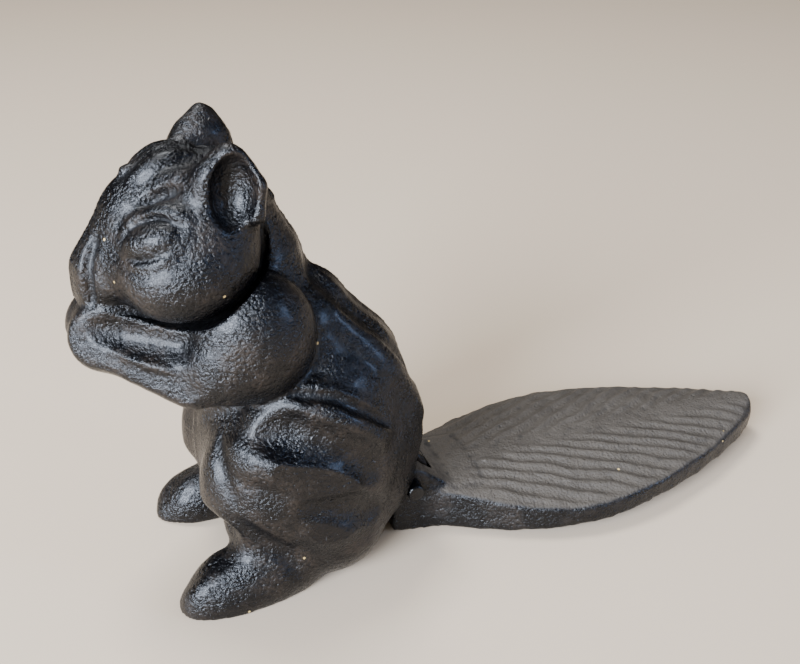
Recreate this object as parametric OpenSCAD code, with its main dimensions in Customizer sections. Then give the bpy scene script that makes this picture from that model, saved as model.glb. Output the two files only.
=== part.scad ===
// Squirrel nutcracker: a seated iron squirrel whose tail is the lever.
// A nut goes between the hollow in the back and the root of the tail, and lifting the tail cracks it.
// +X runs from the nose to the tip of the tail, -Y is the squirrel's left, +Z is up.
// The origin is on the table, at the centre of the object's footprint.

/* [Squirrel] */
// Length of the squirrel, from the paws to the back
body_length = 95; // [80:1:120]
// Width of the squirrel across the haunches
body_width = 62; // [54:1:80]
// Height of the squirrel to the tips of the ears
body_height = 127; // [100:1:160]

/* [Nut hollow] */
// Length of the hollow down the back
hollow_length = 44; // [36:1:50]
// Width of the hollow, between its rims
hollow_width = 24; // [16:1:30]
// Depth of the hollow below the back
hollow_depth = 6; // [3:0.5:9]
// Height of the middle of the hollow above the table
hollow_height = 36; // [32:1:40]

/* [Hinge] */
// Diameter of the hinge pin
pin_diameter = 5; // [4:0.1:6.5]
// Length by which each end of the pin stands out of the tail's cheek
pin_proud = 4; // [1:0.5:8]
// Height of the pin's axis above the table
pin_height = 16.5; // [15:0.5:20]
// Distance from the pin's axis to the rearmost point of the back
pin_inset = 7.5; // [6:0.5:10]
// Width of the lug at the foot of the back
lug_width = 12; // [8:0.5:16]
// Radius of the lug around the pin
lug_radius = 7.5; // [6:0.5:9]
// Thickness of each of the tail's two cheeks
cheek_thickness = 6; // [4:0.5:8]
// Radial gap between the pin and the bores of the cheeks
running_gap = 0.05; // [0.02:0.01:0.1]
// Gap between each cheek and the lug
side_gap = 0.4; // [0.3:0.1:1]

/* [Tail] */
// Length of the tail from the pin's axis to its tip
tail_length = 128; // [100:1:160]
// Width of the tail at its widest
tail_width = 64; // [50:1:80]
// Thickness of the tail at its edge
tail_edge = 6.5; // [4:0.5:8]
// Height of the top of the midrib above the table
midrib_height = 14; // [12:0.5:15]
// Height of the underside of the tip above the table
tip_lift = 4.5; // [0:0.5:6]

/* [Hidden] */

// The squirrel is sculpted at these sizes, its paws this far in front of its toes, and then scaled
sculpt_size = [95, 62, 127];
sculpt_front = 17;
sculpt_facets = 26;
body_scale = [
    body_length / sculpt_size[0],
    body_width / sculpt_size[1],
    body_height / sculpt_size[2]
];

// Everything is drawn with the pin's axis at x = 0, then moved to the centre of the footprint
body_back = pin_inset;
body_front = body_back - body_length;
footprint_centre = (body_front + tail_length) / 2;

// The back leans forward at the hollow by this angle
hollow_tilt = 8;
hollow_facets = 64;

// The cheeks of the tail and the room that they swing in
eye_radius = 5.5;
heel_front = 6;
root_gap = 1;
root_front = lug_radius + root_gap;
root_back = root_front + 5;
cheek_outer = lug_width / 2 + side_gap + cheek_thickness;
root_top = midrib_height - 0.5;
slot_radius = sqrt(pow(root_back, 2) + pow(pin_height - root_top, 2)) + root_gap / 2;
slot_width = side_gap + cheek_thickness + side_gap;
pin_length = 2 * (cheek_outer + pin_proud);
pin_chamfer = 0.5;
lug_foot = 1;
lug_reach = 3 * lug_radius;
lug_top = 4 * lug_radius;
cut = 1;

// The blade's outline: from the root's width out to the widest place and in to the tip
flare_overlap = 9;
flare_start = root_back - flare_overlap;
widest_share = 0.41;
widest_at = flare_start + widest_share * (tail_length - flare_start);
flare_length = widest_at - flare_start;
taper_length = tail_length - widest_at;
tip_half_width = 2;
outline_steps = 12;
section_steps = 4;
flat_root = 6;

module both_sides() {
    children();
    mirror([0, 1, 0]) children();
}

module egg(centre, radii, pitch = 0) {
    translate(centre)
        rotate([0, -pitch, 0])
            scale(radii)
                sphere(1, $fn = sculpt_facets);
}

module limb(from, from_radius, to, to_radius) {
    hull() {
        translate(from) sphere(from_radius, $fn = sculpt_facets);
        translate(to) sphere(to_radius, $fn = sculpt_facets);
    }
}

// Haunches, back, belly, chest and neck
module torso() {
    limb([53, 0, 30], 24, [47, 0, 52.5], 23);
    limb([47, 0, 52.5], 23, [33, 0, 89], 11);
    limb([33, 0, 89], 11, [25, 0, 105], 11);
    egg([26, 0, 38], [14.5, 15, 33]);
    egg([24, 0, 74], [20, 20, 21]);
    both_sides() {
        egg([35, 14, 31.5], [25.5, 17, 26.5]);
        egg([42, 14, 38], [22, 16.3, 28]);
        egg([43.5, 15, 14], [16.8, 14.4, 15]);
    }
}

// Upper arms, forearms and the paws under the chin
module arms() {
    both_sides() {
        egg([27, 17, 77], [15.3, 11.5, 17.5]);
        limb([12, 15, 70.5], 10.4, [-7, 4.5, 77], 8);
    }
    egg([-9, 0, 78], [8, 8, 9]);
}

module head() {
    egg([12, 0, 99], [20, 16, 17]);
    egg([0, 0, 102], [12, 9, 14], 40);
    egg([-1, 0, 93], [13, 10, 10], 20);
    egg([15, 0, 111], [15, 10, 10]);
    both_sides() {
        egg([12, 11.5, 95], [15.5, 14.2, 12]);
        egg([17, 12, 104], [12.5, 11.5, 14]);
        egg([4, 16.5, 107.2], [6, 4, 4.5], 15);
    }
}

module ears() {
    both_sides() difference() {
        egg([23, 16, 115], [11.8, 4.6, 8.5], 85);
        egg([23, 22.5, 115.5], [8.8, 6.3, 4.9], 80);
    }
}

module feet() {
    both_sides() {
        egg([15.5, 21, 2], [15.8, 7.8, 9.5], 10);
        egg([14.5, 23.5, 3], [13.5, 5.3, 9.3], 8);
        egg([27, 22, 8], [13.5, 7, 11.5]);
    }
}

// The whole animal at its driving sizes, standing on the table
module squirrel() {
    translate([body_back, 0, 0])
        scale(body_scale)
            translate([sculpt_front - sculpt_size[0], 0, 0])
                intersection() {
                    union() {
                        torso();
                        arms();
                        head();
                        ears();
                        feet();
                    }
                    translate([-sculpt_front, -sculpt_size[1], 0])
                        cube([sculpt_size[0], 2 * sculpt_size[1], sculpt_size[2]]);
                }
}

// A long round-bottomed dish in the lower back
module nut_hollow() {
    translate([body_back, 0, hollow_height])
        rotate([0, -hollow_tilt, 0])
            scale([hollow_depth, hollow_width / 2, hollow_length / 2])
                sphere(1, $fn = hollow_facets);
}

// The lug that the cheeks straddle, from under the back to the pin
module lug() {
    translate([0, lug_width / 2, 0])
        rotate([90, 0, 0])
            linear_extrude(lug_width)
                hull() {
                    translate([0, pin_height]) circle(lug_radius, $fn = 48);
                    translate([-lug_reach, lug_foot]) square([lug_radius, lug_top]);
                }
}

// The pocket at the foot of the back that the root of the tail turns in
module hinge_pocket() {
    half_width = lug_width / 2 + slot_width;
    translate([0, half_width, 0])
        rotate([90, 0, 0])
            linear_extrude(2 * half_width) {
                translate([0, pin_height]) circle(slot_radius, $fn = 60);
                translate([-heel_front - root_gap, -cut])
                    square([2 * slot_radius, pin_height + cut]);
            }
}

module pin_hole(radius) {
    translate([0, cheek_outer + cut, pin_height])
        rotate([90, 0, 0])
            cylinder(r = radius, h = 2 * (cheek_outer + cut), $fn = 64);
}

module body_casting() {
    color("#1d1e22")
        difference() {
            resize([body_length, body_width, body_height])
                union() {
                    difference() {
                        squirrel();
                        nut_hollow();
                        hinge_pocket();
                    }
                    lug();
                }
            pin_hole(pin_diameter / 2);
        }
}

// A point a share t of the way along a curve with four handles
function bezier(p, t) =
    pow(1 - t, 3) * p[0] + 3 * t * pow(1 - t, 2) * p[1] + 3 * t * t * (1 - t) * p[2] + pow(t, 3) * p[3];

// Half the blade's outline as points of distance from the pin and half width
function blade_outline() =
    let (
        out = [
            [flare_start, cheek_outer],
            [flare_start + 0.2 * flare_length, cheek_outer + 3],
            [flare_start + 0.56 * flare_length, tail_width / 2],
            [widest_at, tail_width / 2]
        ],
        back = [
            [widest_at, tail_width / 2],
            [widest_at + 0.33 * taper_length, tail_width / 2],
            [widest_at + 0.82 * taper_length, tail_width / 4],
            [tail_length, tip_half_width]
        ]
    )
    concat(
        [for (i = [0 : outline_steps]) bezier(out, i / outline_steps)],
        [for (i = [1 : outline_steps]) bezier(back, i / outline_steps)]
    );

// How far along the blade a place is, from 0 at the root to 1 where it is widest
function along(x) = min(1, max(0, (x - flare_start) / flare_length));

// Height of the blade's underside: flat on the table at the root, then lifting to the tip
function underside(x) =
    let (
        flat_end = root_back + flat_root,
        s = max(0, (x - flat_end) / (tail_length - flat_end))
    )
    tip_lift * (1 - pow(1 - s, 3));

// Height of the top surface at the edge: level with the root, then down to the edge's thickness
function edge_height(x) =
    let (s = along(x))
    root_top + (underside(x) + tail_edge - root_top) * s * s * (3 - 2 * s);

// One cross-section of the blade, from the left edge's foot round over the midrib
function blade_section(p) =
    let (
        foot = underside(p[0]),
        edge = edge_height(p[0]),
        rise = midrib_height - edge
    )
    concat(
        [[p[0], -p[1], foot]],
        [
            for (k = [-1 : 1 / section_steps : 1])
                [p[0], k * p[1], edge + rise * (1 - k * k)]
        ],
        [[p[0], p[1], foot]]
    );

module blade() {
    outline = blade_outline();
    rings = len(outline);
    count = 2 * section_steps + 3;
    points = [for (p = outline) each blade_section(p)];
    sides = [
        for (i = [0 : rings - 2])
            for (k = [0 : count - 1])
                let (n = (k + 1) % count)
                [i * count + k, i * count + n, (i + 1) * count + n, (i + 1) * count + k]
    ];
    front = [for (k = [count - 1 : -1 : 0]) k];
    back = [for (k = [0 : count - 1]) (rings - 1) * count + k];
    polyhedron(points, concat(sides, [front, back]), convexity = 4);
}

// The solid root behind the lug and the two cheeks in front of it, whose heel is round about the pin
// so that it rolls clear of the table as the tail lifts
module tail_root() {
    translate([0, cheek_outer, 0])
        rotate([90, 0, 0])
            linear_extrude(2 * cheek_outer)
                hull() {
                    translate([0, pin_height]) circle(eye_radius, $fn = 48);
                    square([root_back, root_top]);
                    intersection() {
                        translate([0, pin_height]) circle(pin_height, $fn = 96);
                        translate([-heel_front, 0]) square([heel_front, root_top]);
                    }
                }
}

// The room between the cheeks for the lug
module lug_room() {
    gap = lug_width / 2 + side_gap;
    translate([0, gap, 0])
        rotate([90, 0, 0])
            linear_extrude(2 * gap) {
                translate([0, pin_height]) circle(root_front, $fn = 60);
                translate([-heel_front - cut, -cut])
                    square([heel_front + cut + root_front, pin_height + cut]);
            }
}

module tail_lever() {
    color("#2b2926")
        difference() {
            resize([heel_front + tail_length, tail_width, pin_height + eye_radius])
                difference() {
                    union() {
                        blade();
                        tail_root();
                    }
                    lug_room();
                }
            pin_hole(pin_diameter / 2 + running_gap);
        }
}

module hinge_pin() {
    color("#222226")
        translate([0, pin_length / 2, pin_height])
            rotate([90, 0, 0]) {
                translate([0, 0, pin_chamfer])
                    cylinder(d = pin_diameter, h = pin_length - 2 * pin_chamfer, $fn = 64);
                for (end = [0, 1])
                    translate([0, 0, end * pin_length])
                        mirror([0, 0, end])
                            cylinder(
                                d1 = pin_diameter - 2 * pin_chamfer,
                                d2 = pin_diameter,
                                h = pin_chamfer,
                                $fn = 64
                            );
            }
}

module placed() {
    translate([-footprint_centre, 0, 0]) children();
}

placed() body_casting();
placed() tail_lever();
placed() hinge_pin();
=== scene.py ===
"""A cast-iron squirrel nutcracker on a pale studio floor.

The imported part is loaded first, as a fixed frame. The squirrel and its tail are then sculpted as signed
distances on a grid, in millimetres, and turned into closed meshes that stand for the plain castings.
"""

import logging
import math
from dataclasses import dataclass
from enum import Enum

import bmesh
import bpy
import numpy as np
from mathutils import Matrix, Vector


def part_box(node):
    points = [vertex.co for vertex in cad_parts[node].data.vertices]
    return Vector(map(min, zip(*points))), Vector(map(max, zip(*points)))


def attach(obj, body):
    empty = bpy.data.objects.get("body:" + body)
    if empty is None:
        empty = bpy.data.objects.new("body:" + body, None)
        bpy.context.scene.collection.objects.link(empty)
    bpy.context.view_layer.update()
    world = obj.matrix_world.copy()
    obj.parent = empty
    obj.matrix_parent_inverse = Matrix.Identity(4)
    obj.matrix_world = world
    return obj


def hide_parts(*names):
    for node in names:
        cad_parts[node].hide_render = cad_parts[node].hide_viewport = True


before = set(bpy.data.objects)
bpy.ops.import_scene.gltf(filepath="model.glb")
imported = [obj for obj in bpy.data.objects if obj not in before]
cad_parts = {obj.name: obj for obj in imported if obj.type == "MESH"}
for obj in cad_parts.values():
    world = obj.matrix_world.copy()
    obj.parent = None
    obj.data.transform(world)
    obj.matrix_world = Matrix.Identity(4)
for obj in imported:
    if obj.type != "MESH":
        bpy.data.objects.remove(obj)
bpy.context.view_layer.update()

LOG = logging.getLogger("nutcracker")
MM = 0.001
FAR = 1000.0
PIN = (70.5, 16.5)


class Slot(Enum):
    """The record's material slots."""

    BODY = "painted_iron_body"
    TAIL = "painted_iron_tail"
    PIN = "painted_steel_pin"


# ---------------------------------------------------------------------------------------------
# Sculpting
# ---------------------------------------------------------------------------------------------
def smooth_union(a: np.ndarray, b: np.ndarray, blend: float) -> np.ndarray:
    """Join two solids with a fillet.

    Args:
        a: Signed distances of the first solid.
        b: Signed distances of the second solid.
        blend: Width of the fillet.

    Returns:
        Signed distances of the joined solid.
    """
    mix = np.clip(0.5 + 0.5 * (b - a) / blend, 0, 1)
    return b + (a - b) * mix - blend * mix * (1 - mix)


def smooth_cut(a: np.ndarray, b: np.ndarray, blend: float) -> np.ndarray:
    """Cut the second solid out of the first, with a rounded rim of the given width."""
    return -smooth_union(-a, b, blend)


def smooth_common(a: np.ndarray, b: np.ndarray, blend: float) -> np.ndarray:
    """Keep what two solids share, with a rounded edge of the given width."""
    return -smooth_union(-a, -b, blend)


@dataclass(frozen=True)
class Egg:
    """An ellipsoid, turned about the sideways axis by pitch, about the upright by yaw, or rolled."""

    centre: tuple[float, float, float]
    radii: tuple[float, float, float]
    pitch: float = 0.0
    yaw: float = 0.0
    roll: float = 0.0
    blend: float = 5.0

    def turn(self) -> np.ndarray:
        """Rotation from the egg's own axes to the sculpture's."""
        p, y, r = (math.radians(v) for v in (self.pitch, self.yaw, self.roll))
        about_y = np.array([[math.cos(p), 0, -math.sin(p)], [0, 1, 0], [math.sin(p), 0, math.cos(p)]])
        about_z = np.array([[math.cos(y), -math.sin(y), 0], [math.sin(y), math.cos(y), 0], [0, 0, 1]])
        about_x = np.array([[1, 0, 0], [0, math.cos(r), -math.sin(r)], [0, math.sin(r), math.cos(r)]])
        return about_z @ about_y @ about_x

    def reach(self) -> tuple[np.ndarray, np.ndarray]:
        """Lowest and highest corners of the egg's box."""
        half = np.sqrt(((self.turn() * np.array(self.radii)) ** 2).sum(1))
        return np.array(self.centre) - half, np.array(self.centre) + half

    def distance(self, x: np.ndarray, y: np.ndarray, z: np.ndarray) -> np.ndarray:
        """Signed distance from the surface at the points given by three broadcastable arrays."""
        m = self.turn()
        x, y, z = x - self.centre[0], y - self.centre[1], z - self.centre[2]
        own = [m[0, i] * x + m[1, i] * y + m[2, i] * z for i in range(3)]
        near = np.sqrt(sum((o / r) ** 2 for o, r in zip(own, self.radii)))
        steep = np.sqrt(sum((o / r**2) ** 2 for o, r in zip(own, self.radii))) + 1e-6
        return (near * (near - 1) / steep).astype(np.float32)


@dataclass(frozen=True)
class Limb:
    """A rounded bar between two points, with a radius at each."""

    start: tuple[float, float, float]
    start_radius: float
    end: tuple[float, float, float]
    end_radius: float
    blend: float = 5.0

    def reach(self) -> tuple[np.ndarray, np.ndarray]:
        """Lowest and highest corners of the limb's box."""
        a, b = np.array(self.start), np.array(self.end)
        return (
            np.minimum(a - self.start_radius, b - self.end_radius),
            np.maximum(a + self.start_radius, b + self.end_radius),
        )

    def distance(self, x: np.ndarray, y: np.ndarray, z: np.ndarray) -> np.ndarray:
        """Signed distance from the surface at the points given by three broadcastable arrays."""
        d = np.array(self.end, float) - np.array(self.start)
        x, y, z = x - self.start[0], y - self.start[1], z - self.start[2]
        t = np.clip((x * d[0] + y * d[1] + z * d[2]) / (d @ d), 0, 1)
        away = np.sqrt((x - t * d[0]) ** 2 + (y - t * d[1]) ** 2 + (z - t * d[2]) ** 2)
        return (away - self.start_radius - t * (self.end_radius - self.start_radius)).astype(np.float32)


def chain(points: list[tuple[float, ...]], blend: float) -> list[Limb]:
    """Limbs through a row of points, each given as x, y, z and radius."""
    return [Limb(a[:3], a[3], b[:3], b[3], blend) for a, b in zip(points, points[1:])]


class Clay:
    """A block of space, mirrored left to right, in which solids are sculpted in millimetres."""

    def __init__(self, low: tuple[float, float], high: tuple[float, float, float], step: float) -> None:
        """Lay out the grid.

        Args:
            low: Lowest x and z. The lowest y is the mirror plane.
            high: Highest x, y and z.
            step: Spacing of the grid.
        """
        self.step = step
        self.origin = np.array([low[0], 0.0, low[1]])
        counts = [int(math.ceil((h - o) / step)) + 1 for h, o in zip(high, self.origin)]
        self.axes = [o + step * np.arange(n, dtype=np.float32) for o, n in zip(self.origin, counts)]
        self.x, self.y, self.z = np.meshgrid(*self.axes, indexing="ij", sparse=True)
        self.shape = tuple(counts)

    def empty(self) -> np.ndarray:
        """Signed distances of a block with nothing in it."""
        return np.full(self.shape, FAR, np.float32)

    def window(self, lump: Egg | Limb, margin: float) -> tuple[slice, slice, slice]:
        """The part of the grid within a margin of a lump's box."""
        low, high = lump.reach()
        return tuple(
            slice(
                max(0, int((low[i] - margin - self.origin[i]) / self.step)),
                max(0, int((high[i] + margin - self.origin[i]) / self.step) + 2),
            )
            for i in range(3)
        )

    def near(self, lump: Egg | Limb, win: tuple[slice, slice, slice]) -> np.ndarray:
        """Signed distances of a lump in a window of the grid."""
        return lump.distance(self.x[win[0]], self.y[:, win[1]], self.z[:, :, win[2]])

    def add(self, solid: np.ndarray, lumps: list[Egg | Limb]) -> np.ndarray:
        """Join lumps to a solid, each with its own fillet."""
        for lump in lumps:
            win = self.window(lump, lump.blend + 3)
            solid[win] = smooth_union(solid[win], self.near(lump, win), lump.blend)
        return solid

    def carve(self, solid: np.ndarray, lumps: list[Egg | Limb]) -> np.ndarray:
        """Cut lumps out of a solid, each with its own rounded rim."""
        for lump in lumps:
            win = self.window(lump, lump.blend + 3)
            solid[win] = smooth_cut(solid[win], self.near(lump, win), lump.blend)
        return solid

    def value(self, solid: np.ndarray, at: np.ndarray) -> np.ndarray:
        """Signed distance at each point of a list."""
        spot = (at - self.origin) / self.step
        cell = np.clip(spot.astype(int), 0, np.array(self.shape) - 2)
        share = np.clip(spot - cell, 0, 1)
        out = np.zeros(len(at))
        for i in (0, 1):
            for j in (0, 1):
                for k in (0, 1):
                    pick = np.where((i, j, k), share, 1 - share).prod(1)
                    out += pick * solid[tuple((cell + (i, j, k)).T)]
        return out

    def slope(self, solid: np.ndarray, at: np.ndarray) -> np.ndarray:
        """Outward direction of the surface at each point of a list."""
        shift = np.eye(3) * self.step
        raw = np.stack([self.value(solid, at + d) - self.value(solid, at - d) for d in shift], 1)
        return raw / (np.linalg.norm(raw, axis=1, keepdims=True) + 1e-9)

    def trace(
        self,
        solid: np.ndarray,
        path: list[tuple[float, float, float]],
        radius: float,
        out: float,
        blend: float,
    ) -> list[Limb]:
        """Lay a bead along the surface of a solid.

        Args:
            solid: Signed distances of the solid.
            path: Rough points of the bead, which are moved onto the surface.
            radius: Radius of the bead, which is half as much at its ends.
            out: How far the bead's centre stands out of the surface.
            blend: Width of the fillet beside the bead.

        Returns:
            The limbs of the bead.
        """
        rough = np.array(path, float)
        length = np.concatenate([[0], np.cumsum(np.linalg.norm(np.diff(rough, axis=0), axis=1))])
        count = max(3, int(length[-1] / 2.5) + 1)
        along = np.linspace(0, length[-1], count)
        at = np.stack([np.interp(along, length, rough[:, i]) for i in range(3)], 1)
        for _ in range(6):
            at = at - self.value(solid, at)[:, None] * self.slope(solid, at)
            at[:, 1] = np.maximum(at[:, 1], 0)
        share = np.sqrt(np.clip(4 * np.linspace(0, 1, count) * (1 - np.linspace(0, 1, count)), 0, 1))
        size = radius * (0.5 + 0.5 * share)
        at = at + self.slope(solid, at) * (out * size / radius)[:, None]
        return chain([(*a, r) for a, r in zip(at, size)], blend)

    def ridge(
        self, solid: np.ndarray, path: list[tuple[float, float, float]], height: float, width: float
    ) -> np.ndarray:
        """Raise a rounded ridge of the given height and width along a path on the surface."""
        radius = (width**2 / 4 + height**2) / (2 * height)
        return self.add(solid, self.trace(solid, path, radius, height - radius, width / 3))

    def crease(
        self, solid: np.ndarray, path: list[tuple[float, float, float]], depth: float, width: float
    ) -> np.ndarray:
        """Press a rounded crease of the given depth and width along a path on the surface."""
        radius = (width**2 / 4 + depth**2) / (2 * depth)
        return self.carve(solid, self.trace(solid, path, radius, radius - depth, width / 4))

    def grain(self, size: float, seed: int) -> np.ndarray:
        """Smooth random unevenness between -1 and 1 over both halves, with features of the given size."""
        rng = np.random.default_rng(seed)
        full = (self.shape[0], 2 * self.shape[1] - 1, self.shape[2])
        out = rng.uniform(-1, 1, [int(n * self.step / size) + 3 for n in full]).astype(np.float32)
        for axis, n in enumerate(full):
            at = np.arange(n) * self.step / size
            cell = at.astype(int)
            t = (at - cell).astype(np.float32)
            t = (t * t * (3 - 2 * t)).reshape([-1 if a == axis else 1 for a in range(3)])
            out = np.take(out, cell, axis) * (1 - t) + np.take(out, cell + 1, axis) * t
        return out

    def mirrored(self, solid: np.ndarray) -> np.ndarray:
        """Both halves of a solid."""
        return np.concatenate([solid[:, :0:-1], solid], axis=1)

    def corner(self) -> np.ndarray:
        """Lowest corner of the grid over both halves."""
        return np.array([self.origin[0], -self.step * (self.shape[1] - 1), self.origin[2]])

    def curl(self, both: np.ndarray, points: np.ndarray, reach: int = 2) -> np.ndarray:
        """How sharply the surface curves at each point: above zero on a crest, below it in a crease."""
        at = np.rint((points - self.corner()) / self.step).astype(int)
        at = np.clip(at, reach, np.array(both.shape) - 1 - reach)
        total = -6 * both[tuple(at.T)]
        for axis in range(3):
            for side in (-reach, reach):
                there = at.copy()
                there[:, axis] += side
                total = total + both[tuple(there.T)]
        return total / (reach * self.step) ** 2

    def skin(self, both: np.ndarray) -> tuple[np.ndarray, np.ndarray]:
        """Wrap a closed surface of quads round a solid.

        Args:
            both: Signed distances over both halves.

        Returns:
            Points in millimetres, and the four corners of each face.
        """
        inside = both < 0
        corner = [(i, j, k) for i in (0, 1) for j in (0, 1) for k in (0, 1)]
        cells = tuple(n - 1 for n in both.shape)
        filled = np.zeros(cells, np.int8)
        for i, j, k in corner:
            filled += inside[i : i + cells[0], j : j + cells[1], k : k + cells[2]]
        active = np.argwhere((filled > 0) & (filled < 8))
        number = np.full(cells, -1, np.int32)
        number[tuple(active.T)] = np.arange(len(active))
        value = np.stack([both[tuple((active + c).T)] for c in corner], 1)
        total, count = np.zeros((len(active), 3)), np.zeros(len(active))
        for a, ca in enumerate(corner):
            for b, cb in enumerate(corner):
                if a < b and sum(abs(p - q) for p, q in zip(ca, cb)) == 1:
                    crossed = (value[:, a] < 0) != (value[:, b] < 0)
                    t = np.where(crossed, value[:, a] / np.where(crossed, value[:, a] - value[:, b], 1), 0)
                    point = np.array(ca) + t[:, None] * (np.array(cb) - np.array(ca))
                    total += np.where(crossed[:, None], point, 0)
                    count += crossed
        points = self.corner() + self.step * (active + total / count[:, None])
        faces = []
        for axis in range(3):
            u, v = (axis + 1) % 3, (axis + 2) % 3
            ahead = np.moveaxis(inside, axis, 0)
            change = np.moveaxis(ahead[1:] != ahead[:-1], 0, axis)
            edge = np.argwhere(change)
            edge = edge[(edge[:, u] > 0) & (edge[:, v] > 0)]
            ring = []
            for du, dv in ((1, 1), (0, 1), (0, 0), (1, 0)):
                at = edge.copy()
                at[:, u] -= du
                at[:, v] -= dv
                ring.append(number[tuple(at.T)])
            quad = np.stack(ring, 1)
            outward = inside[tuple(edge.T)]
            faces.append(np.where(outward[:, None], quad, quad[:, ::-1]))
        return points, np.concatenate(faces)


def mesh_object(name: str, points: np.ndarray, faces: np.ndarray, **notes: np.ndarray) -> bpy.types.Object:
    """Make a smooth-shaded object of quads.

    Args:
        name: Name of the piece.
        points: Its points in metres.
        faces: The four corners of each face.
        **notes: Named values for each point, which its finish reads.

    Returns:
        The object, linked to the scene.
    """
    mesh = bpy.data.meshes.new(name)
    mesh.vertices.add(len(points))
    mesh.vertices.foreach_set("co", points.astype(np.float32).ravel())
    mesh.loops.add(faces.size)
    mesh.loops.foreach_set("vertex_index", faces.astype(np.int32).ravel())
    mesh.polygons.add(len(faces))
    mesh.polygons.foreach_set("loop_start", np.arange(0, faces.size, 4, dtype=np.int32))
    mesh.update(calc_edges=True)
    mesh.shade_smooth()
    for note, values in notes.items():
        mesh.attributes.new(note, "FLOAT", "POINT").data.foreach_set("value", values.astype(np.float32))
    made = bpy.data.objects.new(name, mesh)
    bpy.context.scene.collection.objects.link(made)
    return made


def mesh_normals(piece: bpy.types.Object) -> np.ndarray:
    """Outward direction at each point of a piece."""
    out = np.zeros(3 * len(piece.data.vertices), np.float32)
    piece.data.vertex_normals.foreach_get("vector", out)
    return out.reshape(-1, 3)


def dress(piece: bpy.types.Object, body: str, node: str, slot: Slot) -> None:
    """Say which body a piece rides on, which plain part it stands for and which slot it fills."""
    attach(piece, body)
    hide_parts(node)
    LOG.info("%s: %d faces on %s, %s", piece.name, len(piece.data.polygons), body, slot.value)


# ---------------------------------------------------------------------------------------------
# Nodes and finishes
# ---------------------------------------------------------------------------------------------
def srgb(code: str) -> tuple[float, float, float, float]:
    """Turn a hex colour into linear light."""
    values = [int(code[i : i + 2], 16) / 255 for i in (1, 3, 5)]
    return (*[v / 12.92 if v <= 0.04045 else ((v + 0.055) / 1.055) ** 2.4 for v in values], 1.0)


def per_mm(size: float) -> float:
    """Texture scale at which one feature is the given number of millimetres."""
    return 1 / (size * MM)


def add_node(
    tree: bpy.types.NodeTree, kind: str, inputs: dict | None = None, **settings: object
) -> bpy.types.NodeOutputs:
    """Add a node to a tree with its settings and links.

    Args:
        tree: The tree that the node goes in.
        kind: Type name of the node.
        inputs: Values by input name or number. A socket is linked, and anything else is set.
        **settings: Properties of the node.

    Returns:
        The node's outputs, which are read by name or number.
    """
    made = tree.nodes.new(kind)
    for key, value in settings.items():
        setattr(made, key, value)
    for key, value in (inputs or {}).items():
        if isinstance(value, bpy.types.NodeSocket):
            tree.links.new(value, made.inputs[key])
        else:
            made.inputs[key].default_value = value
    return made.outputs


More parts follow.
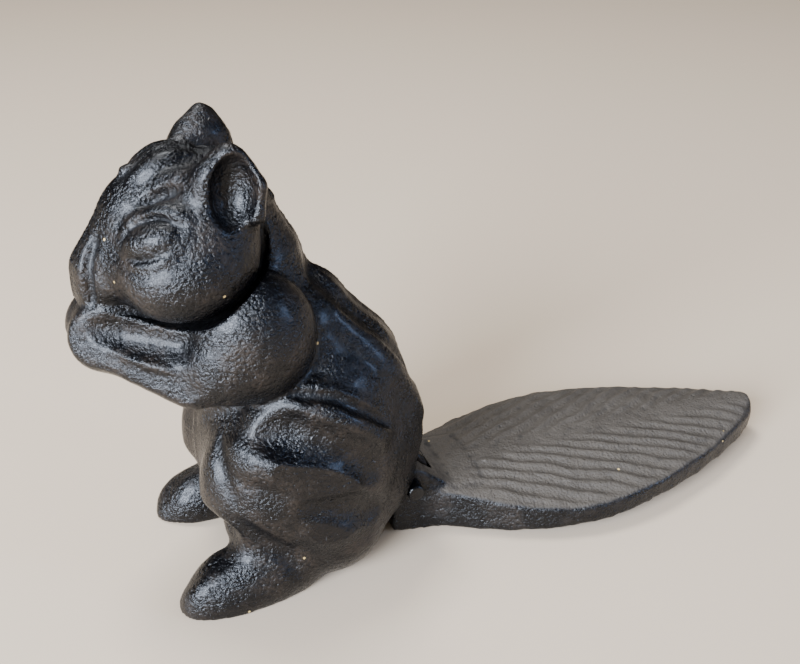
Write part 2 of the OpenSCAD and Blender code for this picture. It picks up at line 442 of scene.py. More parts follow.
@dataclass(frozen=True)
class CastPaint:
    """Oil paint brushed over sand-cast iron.

    The sand of the mould leaves grains and pits under the paint, so its gloss breaks into sparkles. The
    creases are painted deep black as shade, faces that look sideways take a brown painted reflection of the
    warm floor, and the paint is dull with dust in patches.
    """

    name: str
    paint: str
    dust_and_reflection_colour: str
    dull: str
    grain: float = 0.9
    relief: float = 0.55
    gloss: tuple[float, float] = (0.18, 0.4)
    matt: float = 0.82
    shine: float = 0.24
    lacquer: float = 0.08

    def material(self) -> bpy.types.Material:
        """Build the finish.

        Returns:
            A material that reads a piece's notes: crease, flank and top.
        """
        made = bpy.data.materials.new(self.name)
        made.use_nodes = True
        tree = made.node_tree
        shader = tree.nodes["Principled BSDF"]
        place = add_node(tree, "ShaderNodeTexCoord")["Object"]
        crease = add_node(tree, "ShaderNodeAttribute", attribute_name="crease")["Fac"]
        flank = add_node(tree, "ShaderNodeAttribute", attribute_name="flank")["Fac"]
        top = add_node(tree, "ShaderNodeAttribute", attribute_name="top")["Fac"]

        # Grains and pits of the sand mould and the brush's hollows break the gloss into sparkles.
        cloud = {"Vector": place, "Scale": per_mm(self.grain), "Detail": 3.0, "Roughness": 0.6}
        sand = add_node(tree, "ShaderNodeTexNoise", cloud)["Fac"]
        cloud = {"Vector": place, "Scale": per_mm(9), "Detail": 4.0, "Roughness": 0.6}
        patches = add_node(tree, "ShaderNodeTexNoise", cloud)["Fac"]
        cloud = {"Vector": place, "Scale": per_mm(3.5), "Detail": 1.0, "Roughness": 0.6}
        swells = add_node(tree, "ShaderNodeTexNoise", cloud)["Fac"]
        cells = add_node(tree, "ShaderNodeTexVoronoi", {"Vector": place, "Scale": per_mm(1.7)})["Distance"]
        span = {"Value": cells, "From Min": 0.05, "From Max": 0.4}
        pits = add_node(tree, "ShaderNodeMapRange", span, interpolation_type="SMOOTHSTEP")["Result"]

        # A brown film lies in patches and between the grains as dust; on faces that look sideways, the flank
        # note, it is a painted reflection of the warm floor.
        span = {"Value": patches, "From Min": 0.4, "From Max": 0.7}
        dust_and_reflection = add_node(tree, "ShaderNodeMapRange", span, interpolation_type="SMOOTHSTEP")["Result"]
        dust_and_reflection = add_node(tree, "ShaderNodeMath", {0: dust_and_reflection, 1: flank}, operation="ADD")["Value"]
        span = {"Value": dust_and_reflection, "From Min": 0.2, "From Max": 1.3}
        dust_and_reflection = add_node(tree, "ShaderNodeMapRange", span, interpolation_type="SMOOTHSTEP")["Result"]
        span = {"Value": sand, "From Min": 0.36, "From Max": 0.56, "To Min": 0.1}
        caught = add_node(tree, "ShaderNodeMapRange", span, interpolation_type="SMOOTHSTEP")["Result"]
        dust_and_reflection = add_node(tree, "ShaderNodeMath", {0: dust_and_reflection, 1: caught}, operation="MULTIPLY")["Value"]
        mix = {0: dust_and_reflection, 6: srgb(self.paint), 7: srgb(self.dust_and_reflection_colour)}
        colour = add_node(tree, "ShaderNodeMix", mix, data_type="RGBA")[2]

        # Faces that look up are dull and greyed, and creases are painted black as shade.
        span = {"Value": patches, "From Min": 0.3, "From Max": 0.6, "To Min": 0.85}
        dull = add_node(tree, "ShaderNodeMapRange", span, interpolation_type="SMOOTHSTEP")["Result"]
        dull = add_node(tree, "ShaderNodeMath", {0: top, 1: dull}, operation="MULTIPLY")["Value"]
        mix = {0: dull, 6: colour, 7: srgb(self.dull)}
        colour = add_node(tree, "ShaderNodeMix", mix, data_type="RGBA")[2]
        crease_shade = add_node(tree, "ShaderNodeMath", {0: crease, 1: 0.85}, operation="MULTIPLY")["Value"]
        mix = {0: crease_shade, 6: colour, 7: srgb("#050506")}
        colour = add_node(tree, "ShaderNodeMix", mix, data_type="RGBA")[2]

        # A few pale flecks, where the paint is chipped.
        cells = add_node(tree, "ShaderNodeTexVoronoi", {"Vector": place, "Scale": per_mm(11)})["Distance"]
        span = {"Value": cells, "From Min": 0.042, "From Max": 0.03}
        chip = add_node(tree, "ShaderNodeMapRange", span, interpolation_type="SMOOTHSTEP")["Result"]
        mix = {0: chip, 6: colour, 7: srgb("#9A8458")}
        colour = add_node(tree, "ShaderNodeMix", mix, data_type="RGBA")[2]
        tree.links.new(colour, shader.inputs["Base Color"])

        # The gloss changes from patch to patch, and is lost in the creases and under the dust.
        fine = add_node(tree, "ShaderNodeMath", {0: sand, 1: 0.5}, operation="MULTIPLY")["Value"]
        fine = add_node(tree, "ShaderNodeMath", {0: patches, 1: fine}, operation="ADD")["Value"]
        gloss, satin = self.gloss
        span = {"Value": fine, "From Min": 0.55, "From Max": 0.95, "To Min": gloss, "To Max": satin}
        rough = add_node(tree, "ShaderNodeMapRange", span, interpolation_type="SMOOTHSTEP")["Result"]
        lost = {0: crease, 1: 0.2, 2: rough}
        rough = add_node(tree, "ShaderNodeMath", lost, operation="MULTIPLY_ADD")["Value"]
        lost = {0: dull, 1: self.matt - satin, 2: rough}
        rough = add_node(tree, "ShaderNodeMath", lost, operation="MULTIPLY_ADD")["Value"]
        tree.links.new(rough, shader.inputs["Roughness"])

        high = {0: swells, 1: 0.5, 2: sand}
        height = add_node(tree, "ShaderNodeMath", high, operation="MULTIPLY_ADD")["Value"]
        high = {0: pits, 1: 0.3, 2: height}
        height = add_node(tree, "ShaderNodeMath", high, operation="MULTIPLY_ADD")["Value"]
        bump = add_node(tree, "ShaderNodeBump", {"Height": height, "Distance": self.relief * MM})["Normal"]
        tree.links.new(bump, shader.inputs["Normal"])
        shader.inputs["Specular IOR Level"].default_value = self.shine
        shader.inputs["Coat Weight"].default_value = self.lacquer
        shader.inputs["Coat Roughness"].default_value = 0.2
        return made


# ---------------------------------------------------------------------------------------------
# The squirrel
# ---------------------------------------------------------------------------------------------
@dataclass
class Squirrel:
    """The seated squirrel, sculpted in millimetres with its toes at x = 0 and its back towards +X."""

    paws: float = -17.0
    back: float = 78.0
    half_width: float = 31.0
    height: float = 127.0
    step: float = 0.8
    lug_half_width: float = 6.0
    lug_radius: float = 7.5
    slot_outer: float = 12.9
    slot_radius: float = 14.3
    slot_front: float = 63.5
    foot_centre: tuple[float, float] = (54.0, 15.0)
    foot_half: tuple[float, float] = (12.0, 14.0)
    jaw_gap: float = 2.0
    jaw_inner: float = 8.5
    crease_gain: float = 1.6
    hollow: Egg = Egg((77.5, 0, 36), (6, 12, 22), pitch=8, blend=2.5)

    def torso(self) -> list[Egg | Limb]:
        """Back, belly, chest, neck and haunches."""
        spine = [
            (25, 0, 105, 11.3),
            (32.2, 0, 91, 11),
            (35, 0, 81, 12),
            (39, 0, 70, 18),
            (47, 0, 52.5, 23.3),
            (53, 0, 36, 24),
            (52, 0, 24, 23.5),
        ]
        return [
            *chain(spine, 1),
            Egg((26, 0, 38), (14.5, 15, 33), blend=6),
            Egg((24, 0, 74), (20, 20, 21), blend=6),
            Egg((35, 14, 31.5), (25.5, 17, 26.5), blend=4),
            Egg((42, 14, 38), (22, 16.3, 28), blend=5),
            Egg((43.5, 15, 14), (16.8, 14.4, 15), blend=4),
        ]

    def feet(self) -> list[Egg | Limb]:
        """The long hind feet that the haunches sit on."""
        return [
            Egg((15.5, 21, 2), (15.8, 7.8, 9.5), pitch=10, blend=1),
            Egg((14.8, 24, 3.2), (13.8, 5.5, 10), pitch=8, blend=3),
            Egg((14.5, 18.8, 5), (9.5, 5.5, 9), blend=3),
            Egg((27, 22, 8), (13.5, 7, 11.5), blend=4),
        ]

    def forearms(self, clay: Clay) -> np.ndarray:
        """Forearms with a flat upper side, which run forward to the paws under the chin."""
        arm = clay.add(
            clay.empty(),
            [
                Limb((12, 15, 70.5), 10.6, (-6.5, 4.5, 77.3), 8.2, 1),
                Limb((13, 14, 75.5), 9.6, (-6, 5, 79), 7.4, 3),
                Egg((-8.1, 3.5, 77), (8.3, 6.5, 8.8), blend=4),
                Egg((-8, 2.5, 82), (4.5, 4.5, 4.2), blend=3),
            ],
        )
        facet = -0.467 * (clay.x + 12.2) + 0.849 * (clay.y - 8.3) + 0.248 * (clay.z - 83.2) + 1.5
        arm = smooth_common(arm, facet.astype(np.float32), 0.6)
        lower_edge = [(-8.4, 8.7, 78.9), (-3.7, 12.4, 76.3), (0, 15.4, 74.7), (5.8, 19.4, 72.6)]
        trough = [(-9, 8.5, 81.5), (-2, 12.5, 80.5), (6, 17.5, 79.5), (13, 21.5, 78.5)]
        arm = clay.ridge(arm, lower_edge, 1.1, 3)
        return clay.crease(arm, trough, 2.3, 8)

    def head(self, clay: Clay) -> np.ndarray:
        """Skull, muzzle, cheeks and ears."""
        head = clay.add(
            clay.empty(),
            [
                Egg((13.5, 0, 98), (18, 15, 17), blend=1),
                *chain([(-3, 0, 97, 8), (5, 0, 107.3, 8), (13, 0, 112.7, 8.3), (22, 0, 113, 8)], 5),
                Limb((4, 0, 96), 13, (-4.5, 0, 91.5), 8.2, 5),
                Limb((-4.5, 0, 91.5), 8.2, (-6.3, 0, 88.5), 6.8, 3),
                Egg((12, 11.5, 95), (15.5, 14.2, 12), blend=5),
                Egg((17.5, 12, 102), (13, 11, 15), blend=6),
                Limb((13, 8.5, 112), 5, (19.8, 15.3, 119), 3.3, 3),
                Egg((23, 16, 112.5), (8.6, 4.5, 11), blend=2.5),
                Egg((23.4, 16.6, 117), (7.4, 4.4, 8), blend=2),
                Limb((23.6, 16.8, 120.3), 4.8, (24, 17.3, 124.3), 2.6, 2.5),
                Limb((26.2, 18.4, 123), 1.9, (29.4, 20, 117), 2.0, 2),
                Limb((29.4, 20, 117), 2.0, (28.8, 20.3, 110), 2.2, 2),
            ],
        )
        head = clay.carve(head, [Egg((23.6, 22.4, 116.3), (9.2, 7.3, 5.6), pitch=82, blend=0.9)])
        crown = [(3.6, 4, 117), (7.8, 4.7, 119.6), (11.8, 4.4, 121.2), (16, 4, 121.4)]
        temple = [(8, 9, 118), (11.9, 10.2, 119.4), (15, 12.6, 119.5)]
        brow = [(5, 9.2, 111.8), (9.1, 11.1, 113.6), (13, 14, 115.7)]
        nose_side = [(-6, 4.6, 104), (-8.5, 5.2, 98), (-9.4, 6.5, 91.5), (-9.8, 6.5, 87)]
        head = clay.ridge(head, crown, 0.9, 4)
        head = clay.ridge(head, temple, 0.7, 3)
        head = clay.crease(head, brow, 2.2, 3.4)
        head = clay.crease(head, nose_side, 1.5, 3)
        return self.eye(clay, head)

    def eye(self, clay: Clay, head: np.ndarray) -> np.ndarray:
        """A bulging eye between two lids, which meet in a corner towards the ear."""
        front, rear = (-2.0, 10.2, 103.8), (13.4, 20.4, 110.2)
        upper = [(-0.3, 10.6, 105.8), (2, 11.4, 109.2), (5.6, 13.7, 111.2), (9.6, 16.3, 112), (13, 19.5, 111)]
        lower = [front, (0, 17.3, 101.4), (2.5, 20.4, 101.4), (6, 22.3, 102.6), (11.2, 22.2, 107.2), rear]
        middle = np.array([[4.2, 18.0, 106.8]])
        for _ in range(6):
            middle = middle - clay.value(head, middle)[:, None] * clay.slope(head, middle)
        out, middle = clay.slope(head, middle)[0], middle[0]
        along = np.array(rear) - np.array(front)
        along -= (along @ out) * out
        along /= np.linalg.norm(along)
        yaw, pitch = math.atan2(along[1], along[0]), math.asin(along[2])
        beside = np.array([-math.sin(yaw), math.cos(yaw), 0])
        rise = math.sin(pitch)
        above = np.array([-rise * math.cos(yaw), -rise * math.sin(yaw), math.cos(pitch)])
        roll = math.atan2(out @ above, out @ beside)
        turn = {"yaw": math.degrees(yaw), "pitch": math.degrees(pitch), "roll": math.degrees(roll)}
        socket, ball = middle + 1.4 * out - 0.3 * along, middle - 1.6 * out - 0.5 * along
        head = clay.ridge(head, upper, 1.7, 4.2)
        head = clay.ridge(head, lower, 0.7, 2.6)
        head = clay.carve(head, [Egg(tuple(socket), (8.6, 3.2, 5.3), blend=0.6, **turn)])
        return clay.add(head, [Egg(tuple(ball), (8.2, 5.0, 4.7), blend=0.3, **turn)])

    def folds(self, clay: Clay, body: np.ndarray) -> np.ndarray:
        """Folds of the haunch, the knee, and the ridges and channels of the back."""
        back_ridge = [(49, 12, 77.5), (55.9, 13.6, 71.2), (60, 14.4, 67)]
        back_ridge += [(65, 15, 60), (70, 13, 50), (73, 12, 42)]
        back_channel = [(43, 3, 88), (48.5, 8, 82), (53, 9.7, 77)]
        back_channel += [(59.5, 10.4, 71.3), (64.5, 11, 64), (71, 9, 53)]
        raised = [
            ([(22, 24, 56), (28, 24, 59), (36, 24, 60), (47.7, 26.7, 52.2), (56, 25, 46)], 1.3, 9),
            ([(18, 24, 50), (20.4, 25.6, 47.5), (28.3, 28.9, 46), (36, 30.4, 42), (48, 29.9, 36)], 2.0, 9),
            ([(38, 30, 22.5), (46, 29, 21)], 1.0, 9),
            (back_ridge, 0.9, 6.5),
        ]
        pressed = [
            ([(34, 23, 61.7), (43.2, 24.6, 59.5), (50, 25.4, 54.7), (58.5, 23.8, 47.5)], 2.0, 3.6),
            ([(26, 26, 54), (33.4, 29.4, 47.2), (41, 30.3, 42.8), (52, 29, 36)], 1.5, 9),
            ([(34, 31, 32.5), (44, 30, 29), (54, 27, 23)], 1.2, 8),
            ([(11.5, 17, 52), (13, 20, 46.5), (15, 22.6, 41), (17, 25, 34)], 0.7, 4),
            ([(17, 25, 29), (21, 27, 24), (28.1, 28.5, 16.7), (31, 28.8, 9)], 0.9, 5),
            (back_channel, 1.1, 6),
        ]
        for path, height, width in raised:
            body = clay.ridge(body, path, height, width)
        for path, depth, width in pressed:
            body = clay.crease(body, path, depth, width)
        return body

    def flash(self, clay: Clay, body: np.ndarray) -> np.ndarray:
        """The line where the two halves of the mould met, with a few beads of metal left on it."""
        line = np.maximum(body - 0.45, clay.y - 0.5).astype(np.float32)
        body = smooth_union(body, line, 0.8)
        beads = [(2.8, 117.6), (11.8, 121.3), (35.6, 107)]
        return clay.add(body, [Egg((x, 0, z), (1.7, 1.0, 0.9), blend=1.6) for x, z in beads])

    def build(self, finish: CastPaint) -> bpy.types.Object:
        """Sculpt the squirrel and place it in the frame.

        Args:
            finish: Paint of the casting.

        Returns:
            The squirrel's object, with its place in its mesh.
        """
        clay = self.block()
        both = clay.mirrored(self.sculpt(clay))
        points, faces = clay.skin(both)
        # Concave places are marked for painted shade: the paint turns black there and loses gloss.
        crease = np.clip(-clay.curl(both, points) * self.crease_gain - 0.1, 0, 1)
        made = mesh_object("squirrel_casting", self.place(points), faces, crease=crease)
        # Faces that look sideways (flank) take a brown painted reflection of the warm floor in the paint's
        # colour.
        up = mesh_normals(made)[:, 2]
        flank = np.clip(0.45 - up, 0, 1) * np.clip(1 + 2.5 * up, 0, 1)
        made.data.attributes.new("flank", "FLOAT", "POINT").data.foreach_set("value", flank)
        made.data.materials.append(finish.material())
        dress(made, "squirrel", "body_casting", Slot.BODY)
        return made

    def block(self) -> Clay:
        """The block of clay that holds the squirrel."""
        return Clay((self.paws - 3, -2), (self.back + 3, self.half_width + 3, self.height + 3), self.step)

    def sculpt(self, clay: Clay) -> np.ndarray:
        """Join the parts of the squirrel and cut what is cut out of it.

        Args:
            clay: The block to sculpt in.

        Returns:
            Signed distances of the near half.
        """
        body = clay.add(clay.empty(), self.torso())
        body = clay.carve(body, [Egg((11, 18, 21), (6.5, 9, 5.5), blend=5)])
        body = clay.add(body, self.feet())
        body = self.folds(clay, body)
        body = smooth_union(body, self.forearms(clay), 1.2)
        shoulder = Egg((27, 17, 77), (15.3, 11.5, 17.5), blend=1)
        elbow = Egg((18.5, 18, 70.5), (10, 8.6, 9.3), blend=5)
        body = smooth_union(body, clay.add(clay.empty(), [shoulder, elbow]), 1.8)
        head = self.head(clay)
        undercut = np.maximum(head - self.jaw_gap, self.jaw_inner - clay.y)
        body = smooth_union(smooth_cut(body, undercut, 0.8), head, 0.8)
        body = self.flash(clay, body)
        body = self.hinge_end(clay, body)
        body += 0.16 * self.lumps(clay, 7, 3) + 0.1 * self.lumps(clay, 2.2, 4)
        return np.maximum(body, -clay.z)

    def lumps(self, clay: Clay, size: float, seed: int) -> np.ndarray:
        """Unevenness of the sand mould over the near half."""
        return clay.grain(size, seed)[:, clay.shape[1] - 1 :]

    def hinge_end(self, clay: Clay, body: np.ndarray) -> np.ndarray:
        """Cut the nut hollow and the cheeks' slots, and add the lug between them."""
        body = clay.carve(body, [self.hollow])
        from_pin = np.hypot(clay.x - PIN[0], clay.z - PIN[1])
        slot = np.minimum(from_pin - self.slot_radius, np.maximum(self.slot_front - clay.x, clay.z - PIN[1]))
        body = smooth_cut(body, np.maximum(slot, clay.y - self.slot_outer), 0.8)
        dx = np.abs(clay.x - self.foot_centre[0]) - self.foot_half[0]
        dz = np.abs(clay.z - self.foot_centre[1]) - self.foot_half[1]
        foot = np.hypot(np.maximum(dx, 0), np.maximum(dz, 0)) + np.minimum(np.maximum(dx, dz), 0)
        lug = np.minimum(from_pin - self.lug_radius, foot)
        lug = np.maximum(lug, clay.y - self.lug_half_width)
        return smooth_union(body, lug, 0.8)

    def place(self, points: np.ndarray) -> np.ndarray:
        """Move points from the sculpture's millimetres to the frame's metres."""
        low, high = (np.array(v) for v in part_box("body_casting"))
        scale = (high[0] - low[0]) / (self.back - self.paws)
        shift = np.array([low[0] - self.paws * scale, 0, 0])
        return np.clip(points * scale + shift, low, high)


# ---------------------------------------------------------------------------------------------
# The tail
# ---------------------------------------------------------------------------------------------
@dataclass
class TailLever:
    """The flat feathered tail, whose two cheeks turn on the pin, in the squirrel's millimetres."""

    flare: float = 75.0
    root_back: float = 84.0
    widest: float = 125.6
    tip: float = 198.5
    tip_half_width: float = 4.0
    half_width: float = 31.8
    cheek_outer: float = 12.4
    cheek_inner: float = 6.4
    eye_radius: float = 5.5
    room_radius: float = 8.5
    heel_front: float = 64.7
    root_top: float = 13.5
    midrib: float = 14.0
    edge: float = 6.5
    tip_lift: float = 4.5
    step: float = 0.7
    barb_pitch: float = 4.6
    barb_height: float = 0.8
    barb_lean: float = 27.0

    def outline(self) -> tuple[np.ndarray, np.ndarray]:
        """Places along the tail and the blade's half width at each, from two smooth curves."""
        out, back = self.widest - self.flare, self.tip - self.widest
        first = np.array(
            [
                (self.flare, self.cheek_outer),
                (self.flare + 0.2 * out, self.cheek_outer + 3),
                (self.flare + 0.56 * out, self.half_width),
                (self.widest, self.half_width),
            ]
        )
        second = np.array(
            [
                (self.widest, self.half_width),
                (self.widest + 0.33 * back, self.half_width),
                (self.widest + 0.84 * back, 0.46 * self.half_width),
                (self.tip, self.tip_half_width),
            ]
        )
        t = np.linspace(0, 1, 60)[:, None]
        share = ((1 - t) ** 3, 3 * t * (1 - t) ** 2, 3 * t * t * (1 - t), t**3)
        curve = np.concatenate([sum(w * p for w, p in zip(share, part)) for part in (first, second)])
        return curve[:, 0] + 1e-6 * np.arange(len(curve)), curve[:, 1]

    def underside(self, x: np.ndarray) -> np.ndarray:
        """Height of the blade's underside, on the table at the root and lifting to the tip."""
        share = np.clip((x - self.root_back - 6) / (self.tip - self.root_back - 6), 0, 1)
        return self.tip_lift * (1 - (1 - share) ** 3)

    def blade(self, clay: Clay) -> np.ndarray:
        """The leaf-shaped blade, its top sloping from the midrib to the edges."""
        along, half = self.outline()
        width = np.interp(clay.x, along, half)
        lean = np.gradient(width[:, 0, 0], clay.step)[:, None, None]
        side = (clay.y - width) / np.sqrt(1 + lean**2)
        foot = self.underside(clay.x)
        fall = np.clip((clay.x - self.flare) / (self.widest - self.flare), 0, 1)
        edge = self.root_top + (foot + self.edge - self.root_top) * fall**2 * (3 - 2 * fall)
        share = np.clip(clay.y / np.maximum(width, 1), 0, 1)
        top = edge + (self.midrib - edge) * (1 - share**2)
        side = smooth_common(side, clay.x - self.tip, 4.0)
        blade = smooth_common(side, clay.z - top, 1.6)
        blade = smooth_common(blade, foot - clay.z, 1.6)
        return np.maximum(blade, self.flare - clay.x).astype(np.float32)

    def root(self, clay: Clay) -> np.ndarray:
        """The block behind the lug and the two cheeks, whose heel is round about the pin."""
        from_pin = np.hypot(clay.x - PIN[0], clay.z - PIN[1])
        reach, drop = self.root_back - PIN[0], PIN[1] - self.root_top
        turn = math.acos(self.eye_radius / math.hypot(reach, drop)) - math.atan2(drop, reach)
        meet = PIN[0] + self.eye_radius * math.cos(turn)
        slope = -1 / math.tan(turn)
        roof = self.root_top + slope * np.minimum(clay.x - self.root_back, 0)
        roof = np.where(clay.x < meet, PIN[1], roof)
        block = np.maximum(np.maximum(self.heel_front - clay.x, clay.z - roof), clay.x - self.root_back - 8)
        block = np.where(clay.x < PIN[0], np.maximum(block, from_pin - PIN[1] + 0.3), block)
        root = smooth_union(from_pin - self.eye_radius, block, 1.0)
        root = smooth_common(root, clay.y - self.cheek_outer, 1.2)
        room = np.maximum(clay.x - PIN[0] - self.room_radius, clay.z - PIN[1])
        room = np.minimum(from_pin - self.room_radius, room)
        return smooth_cut(root, np.maximum(room, clay.y - self.cheek_inner), 0.6).astype(np.float32)

    def barbs(self) -> bpy.types.NodeTree:
        """Geometry Nodes tree that raises the barbs of the feather out of the blade's top.

        Returns:
            A tree with named inputs for the pitch, height and lean of the barbs, and for their paint.
        """
        tree = bpy.data.node_groups.new("feather_barbs", "GeometryNodeTree")
        face = tree.interface
        face.new_socket("Geometry", in_out="OUTPUT", socket_type="NodeSocketGeometry")
        face.new_socket("Geometry", in_out="INPUT", socket_type="NodeSocketGeometry")
        for name in ("Pitch", "Height", "Lean", "Wander", "Midrib", "Margin", "Start"):
            face.new_socket(name, in_out="INPUT", socket_type="NodeSocketFloat")
        face.new_socket("Paint", in_out="INPUT", socket_type="NodeSocketMaterial")
        given = add_node(tree, "NodeGroupInput")
        place = add_node(tree, "GeometryNodeInputPosition")["Position"]
        rim = add_node(tree, "GeometryNodeInputNamedAttribute", {"Name": "rim"})["Attribute"]
        top = add_node(tree, "GeometryNodeInputNamedAttribute", {"Name": "top"})["Attribute"]
        x, y, _ = add_node(tree, "ShaderNodeSeparateXYZ", {0: place})
        out = add_node(tree, "ShaderNodeMath", {0: y}, operation="ABSOLUTE")[0]

        # Slanting rows, counted from the midrib outwards and a little uneven.
        cloud = {"Vector": place, "Scale": per_mm(14), "Detail": 1.0}
        cloud = add_node(tree, "ShaderNodeTexNoise", cloud)[0]
        cloud = add_node(tree, "ShaderNodeMath", {0: cloud, 1: 0.5}, operation="SUBTRACT")[0]
        wander = add_node(tree, "ShaderNodeMath", {0: cloud, 1: given["Wander"]}, operation="MULTIPLY")[0]
        cosine = add_node(tree, "ShaderNodeMath", {0: given["Lean"]}, operation="COSINE")[0]
        sine = add_node(tree, "ShaderNodeMath", {0: given["Lean"]}, operation="SINE")[0]
        outward = add_node(tree, "ShaderNodeMath", {0: out, 1: cosine}, operation="MULTIPLY")[0]
        forward = add_node(tree, "ShaderNodeMath", {0: x, 1: sine}, operation="MULTIPLY")[0]
        across = add_node(tree, "ShaderNodeMath", {0: outward, 1: forward}, operation="SUBTRACT")[0]
        row = add_node(tree, "ShaderNodeMath", {0: across, 1: given["Pitch"]}, operation="DIVIDE")[0]
        row = add_node(tree, "ShaderNodeMath", {0: row, 1: wander}, operation="ADD")[0]
        turn = add_node(tree, "ShaderNodeMath", {0: row, 1: 2 * math.pi}, operation="MULTIPLY")[0]
        wave = add_node(tree, "ShaderNodeMath", {0: turn}, operation="SINE")[0]
        crest = add_node(tree, "ShaderNodeMath", {0: wave, 1: 0.5, 2: 0.5}, operation="MULTIPLY_ADD")[0]
        crest = add_node(tree, "ShaderNodeMath", {0: crest, 1: 1.5}, operation="POWER")[0]

        # They fade out at the midrib, at the rim, at the root and off the blade's top.
        far = add_node(tree, "ShaderNodeMath", {0: given["Midrib"], 1: 4.0}, operation="MULTIPLY")[0]
        span = {"Value": out, "From Min": given["Midrib"], "From Max": far}
        begin = add_node(tree, "ShaderNodeMapRange", span, interpolation_type="SMOOTHSTEP")["Result"]
        span = {"Value": rim, "From Max": given["Margin"]}
        end = add_node(tree, "ShaderNodeMapRange", span, interpolation_type="SMOOTHSTEP")["Result"]
        full = add_node(tree, "ShaderNodeMath", {0: given["Start"], 1: 0.015}, operation="ADD")[0]
        span = {"Value": x, "From Min": given["Start"], "From Max": full}
        start = add_node(tree, "ShaderNodeMapRange", span, interpolation_type="SMOOTHSTEP")["Result"]
        mask = add_node(tree, "ShaderNodeMath", {0: begin, 1: end}, operation="MULTIPLY")[0]
        blade = add_node(tree, "ShaderNodeMath", {0: start, 1: top}, operation="MULTIPLY")[0]
        mask = add_node(tree, "ShaderNodeMath", {0: mask, 1: blade}, operation="MULTIPLY")[0]

        lift = add_node(tree, "ShaderNodeMath", {0: crest, 1: 0.45}, operation="SUBTRACT")[0]
        lift = add_node(tree, "ShaderNodeMath", {0: lift, 1: given["Height"]}, operation="MULTIPLY")[0]
        lift = add_node(tree, "ShaderNodeMath", {0: lift, 1: mask}, operation="MULTIPLY")[0]
        shift = add_node(tree, "ShaderNodeCombineXYZ", {2: lift})[0]
        moved = add_node(tree, "GeometryNodeSetPosition", {"Geometry": given["Geometry"], "Offset": shift})[0]
        whole = add_node(tree, "GeometryNodeRealizeInstances", {"Geometry": moved})[0]
        painted = {"Geometry": whole, "Material": given["Paint"]}
        painted = add_node(tree, "GeometryNodeSetMaterial", painted)[0]
        add_node(tree, "NodeGroupOutput", {0: painted})
        return tree

    def build(self, finish: CastPaint) -> bpy.types.Object:
        """Shape the tail, raise its barbs and place it in the frame.

        Args:
            finish: Paint of the casting.

        Returns:
            The tail's object, with its place in its mesh.
        """
        clay = Clay((self.heel_front - 3, -2), (self.tip + 3, self.half_width + 3, PIN[1] + 8), self.step)
        half = smooth_union(self.blade(clay), self.root(clay), 2.0)
        both = clay.mirrored(half)
        both += 0.22 * clay.grain(6, 11) + 0.14 * clay.grain(2, 12)
        both = np.maximum(both, -clay.z)
        points, faces = clay.skin(both)
        low, high = (np.array(v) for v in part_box("tail_lever"))
        rim = np.interp(points[:, 0], *self.outline()) - np.abs(points[:, 1])
        rim = np.minimum(rim, self.tip - points[:, 0])
        # Concave places are marked for painted shade: the paint turns black there and loses gloss.
        crease = np.clip(-clay.curl(both, points) * 1.5 - 0.1, 0, 1)
        shift = np.array([high[0] - self.tip * MM, 0, 0])
        made = mesh_object("tail_casting", points * MM + shift, faces, rim=rim * MM, crease=crease)
        up = np.clip((mesh_normals(made)[:, 2] - 0.55) / 0.3, 0, 1)
        made.data.attributes.new("top", "FLOAT", "POINT").data.foreach_set("value", up.astype(np.float32))
        run_nodes(
            made,
            self.barbs(),
            {
                "Pitch": self.barb_pitch * MM,
                "Height": self.barb_height * MM,
                "Lean": math.radians(self.barb_lean),
                "Wander": 0.9,
                "Midrib": 1.5 * MM,
                "Margin": 3.5 * MM,
                "Start": (self.root_back + 1) * MM + shift[0],
                "Paint": finish.material(),
            },
        )
        inside = np.zeros(3 * len(made.data.vertices), np.float32)
        made.data.vertices.foreach_get("co", inside)
        made.data.vertices.foreach_set("co", np.clip(inside.reshape(-1, 3), low, high).ravel())
        dress(made, "tail", "tail_lever", Slot.TAIL)
        return made


def run_nodes(piece: bpy.types.Object, tree: bpy.types.NodeTree, values: dict[str, object]) -> None:
    """Run a Geometry Nodes tree on a piece and keep the plain mesh that it makes.

    Args:
        piece: The piece, whose mesh is replaced.
        tree: The tree to run.
        values: Values of the tree's inputs, by name.
    """
    modifier = piece.modifiers.new(tree.name, "NODES")
    modifier.node_group = tree
    for socket in tree.interface.items_tree:
        if socket.in_out == "INPUT" and socket.name in values:
            modifier[socket.identifier] = values[socket.name]
    depsgraph = bpy.context.evaluated_depsgraph_get()
    plain = bpy.data.meshes.new_from_object(
        piece.evaluated_get(depsgraph), preserve_all_data_layers=True, depsgraph=depsgraph
    )
    piece.modifiers.clear()
    piece.data = plain
    plain.shade_smooth()


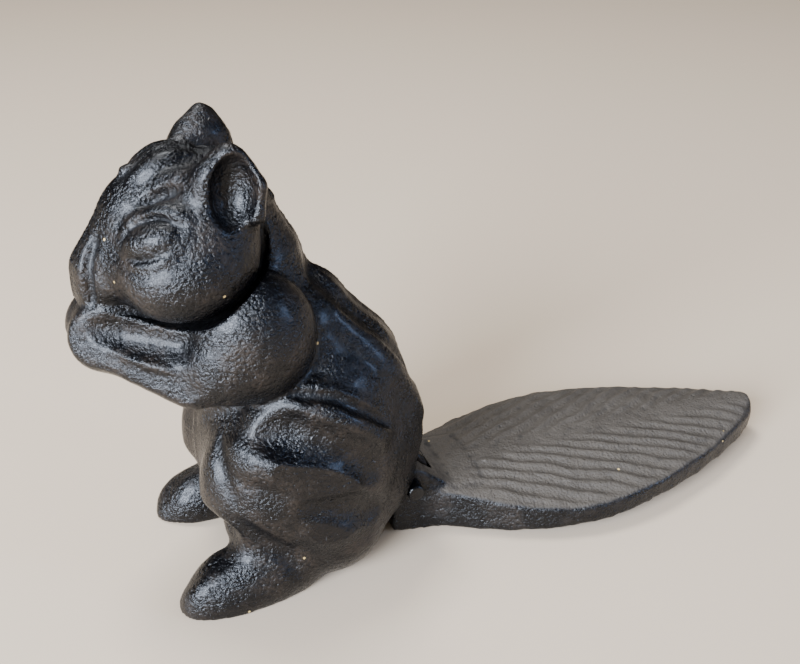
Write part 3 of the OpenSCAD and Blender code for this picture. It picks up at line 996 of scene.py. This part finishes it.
# ---------------------------------------------------------------------------------------------
# The pin
# ---------------------------------------------------------------------------------------------
@dataclass
class HingePin:
    """The cut length of rod that joins the two castings, its ends filed round."""

    sides: int = 48
    chamfer: float = 0.7

    def build(self, finish: CastPaint) -> bpy.types.Object:
        """Turn the pin and place it in the frame.

        Args:
            finish: Paint of the pin.

        Returns:
            The pin's object, with its place in its mesh.
        """
        low, high = (np.array(v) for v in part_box("hinge_pin"))
        centre, half = (low + high) / 2, (high[1] - low[1]) / 2
        radius = (high[2] - low[2]) / 2
        chamfer = self.chamfer * MM
        turns = [(0.0, half - 0.2 * MM), (radius - 2.2 * chamfer, half)]
        turns += [
            (radius - chamfer * (1 - math.sin(a)), half - chamfer * (1 - math.cos(a)))
            for a in np.linspace(0, math.pi / 2, 5)
        ]
        profile = [(r, y) for r, y in turns] + [(r, -y) for r, y in reversed(turns)]
        mesh = bmesh.new()
        rings = []
        for r, y in profile:
            angles = np.linspace(0, 2 * math.pi, self.sides, endpoint=False)
            spots = [(centre[0] + r * math.cos(a), y, centre[2] + r * math.sin(a)) for a in angles]
            rings.append([mesh.verts.new(p) for p in (spots if r else spots[:1])])
        for a, b in zip(rings, rings[1:]):
            for i in range(self.sides):
                j = (i + 1) % self.sides
                corners = [a[i % len(a)], a[j % len(a)], b[j % len(b)], b[i % len(b)]]
                mesh.faces.new(list(dict.fromkeys(corners)))
        bmesh.ops.recalc_face_normals(mesh, faces=mesh.faces)
        data = bpy.data.meshes.new("hinge_pin_rod")
        mesh.to_mesh(data)
        mesh.free()
        data.shade_smooth()
        made = bpy.data.objects.new("hinge_pin_rod", data)
        bpy.context.scene.collection.objects.link(made)
        data.materials.append(finish.material())
        dress(made, "squirrel", "hinge_pin", Slot.PIN)
        return made


# ---------------------------------------------------------------------------------------------
# Studio
# ---------------------------------------------------------------------------------------------
@dataclass(frozen=True)
class Lamp:
    """A soft rectangular light that faces the squirrel, with its place and size in metres."""

    name: str
    place: tuple[float, float, float]
    size: tuple[float, float]
    power: float
    colour: str
    aim: tuple[float, float, float] = (0.0, 0.0, 0.05)

    def hang(self) -> None:
        """Add the lamp to the scene."""
        data = bpy.data.lights.new(self.name, "AREA")
        data.shape = "RECTANGLE"
        data.size, data.size_y = self.size
        data.energy = self.power
        data.color = srgb(self.colour)[:3]
        lamp = bpy.data.objects.new(self.name, data)
        bpy.context.scene.collection.objects.link(lamp)
        lamp.location = self.place
        lamp.rotation_euler = (Vector(self.aim) - Vector(self.place)).to_track_quat("-Z", "Y").to_euler()


@dataclass
class Studio:
    """Floor, lights and camera. The camera's place is in millimetres."""

    eye: tuple[float, float, float] = (-105.65, -232.6, 195.5)
    look: tuple[float, float, float] = (0.3057, 0.8249, -0.4756)
    lens: float = 45.0
    room_colour: str = "#F3ECE2"
    room_fill: float = 1.3
    room_gloss: float = 0.08
    floor_reach: float = 6.0
    floor_colour: str = "#9C8D7A"
    floor_roughness: float = 0.8
    lamps: tuple[Lamp, ...] = (
        Lamp("window_left", (-0.92, -0.66, 0.46), (0.6, 0.6), 108.0, "#DDE8FA"),
        Lamp("window_right", (0.95, -0.75, 0.4), (0.22, 0.4), 12.0, "#A4C2F5"),
        Lamp("skylight", (-0.2, 0.35, 1.2), (0.35, 0.35), 24.0, "#EEF1F6"),
    )

    def camera(self) -> None:
        """Set the camera."""
        data = bpy.data.cameras.new("camera")
        data.lens = self.lens
        data.sensor_width = 36
        data.clip_start = 0.01
        cam = bpy.data.objects.new("camera", data)
        bpy.context.scene.collection.objects.link(cam)
        cam.location = Vector(self.eye) * MM
        cam.rotation_euler = Vector(self.look).to_track_quat("-Z", "Y").to_euler()
        bpy.context.scene.camera = cam

    def floor(self) -> None:
        """Lay a pale floor."""
        mesh = bpy.data.meshes.new("floor")
        r = self.floor_reach
        mesh.from_pydata([(-r, -r, 0), (r, -r, 0), (r, r, 0), (-r, r, 0)], [], [(0, 1, 2, 3)])
        made = bpy.data.objects.new("floor", mesh)
        bpy.context.scene.collection.objects.link(made)
        # Matt emulsion on board: it shows pale and plain, and throws a warm light up at the castings.
        paint = bpy.data.materials.new("matt_emulsion_on_board")
        paint.use_nodes = True
        shader = paint.node_tree.nodes["Principled BSDF"]
        shader.inputs["Base Color"].default_value = srgb(self.floor_colour)
        shader.inputs["Roughness"].default_value = self.floor_roughness
        mesh.materials.append(paint)

    def light(self) -> None:
        """Hang a wide cool window at the front left, a smaller one at the right, and a warm room."""
        world = bpy.data.worlds.new("studio")
        bpy.context.scene.world = world
        world.use_nodes = True
        tree = world.node_tree
        tree.nodes.clear()
        seen = add_node(tree, "ShaderNodeLightPath")["Is Glossy Ray"]
        span = {"Value": seen, "To Min": self.room_fill, "To Max": self.room_gloss}
        strength = add_node(tree, "ShaderNodeMapRange", span)["Result"]
        glow = {"Color": srgb(self.room_colour), "Strength": strength}
        room = add_node(tree, "ShaderNodeBackground", glow)[0]
        add_node(tree, "ShaderNodeOutputWorld", {"Surface": room})
        for lamp in self.lamps:
            lamp.hang()


def main() -> None:
    """Build the nutcracker round the frame."""
    logging.basicConfig(level=logging.INFO)
    studio = Studio()
    studio.camera()
    studio.floor()
    studio.light()
    # Gloss black over sand-cast iron: broken blue-white sparkle on the crests, brownish black in the shade.
    # The brown is partly dust in patches and partly a painted reflection of the warm floor on faces that look
    # sideways, and the creases are painted black as shade.
    body_paint = CastPaint("black_paint_on_sand_cast_iron", "#020203", "#1B1510", "#181613")
    # The same paint under settled dust: a dull grey top with no sparkle, black only at the rim and below.
    tail_paint = CastPaint("dusty_black_paint_on_cast_iron", "#020203", "#1E1915", "#38332D", grain=0.8)
    # Paint over smooth rod: plain black with one clean streak of light.
    pin_paint = CastPaint("black_paint_on_steel_rod", "#020203", "#0D0C0A", "#0D0C0A", relief=0.2)
    Squirrel().build(body_paint)
    TailLever().build(tail_paint)
    HingePin().build(pin_paint)


if __name__ == "__main__":
    main()
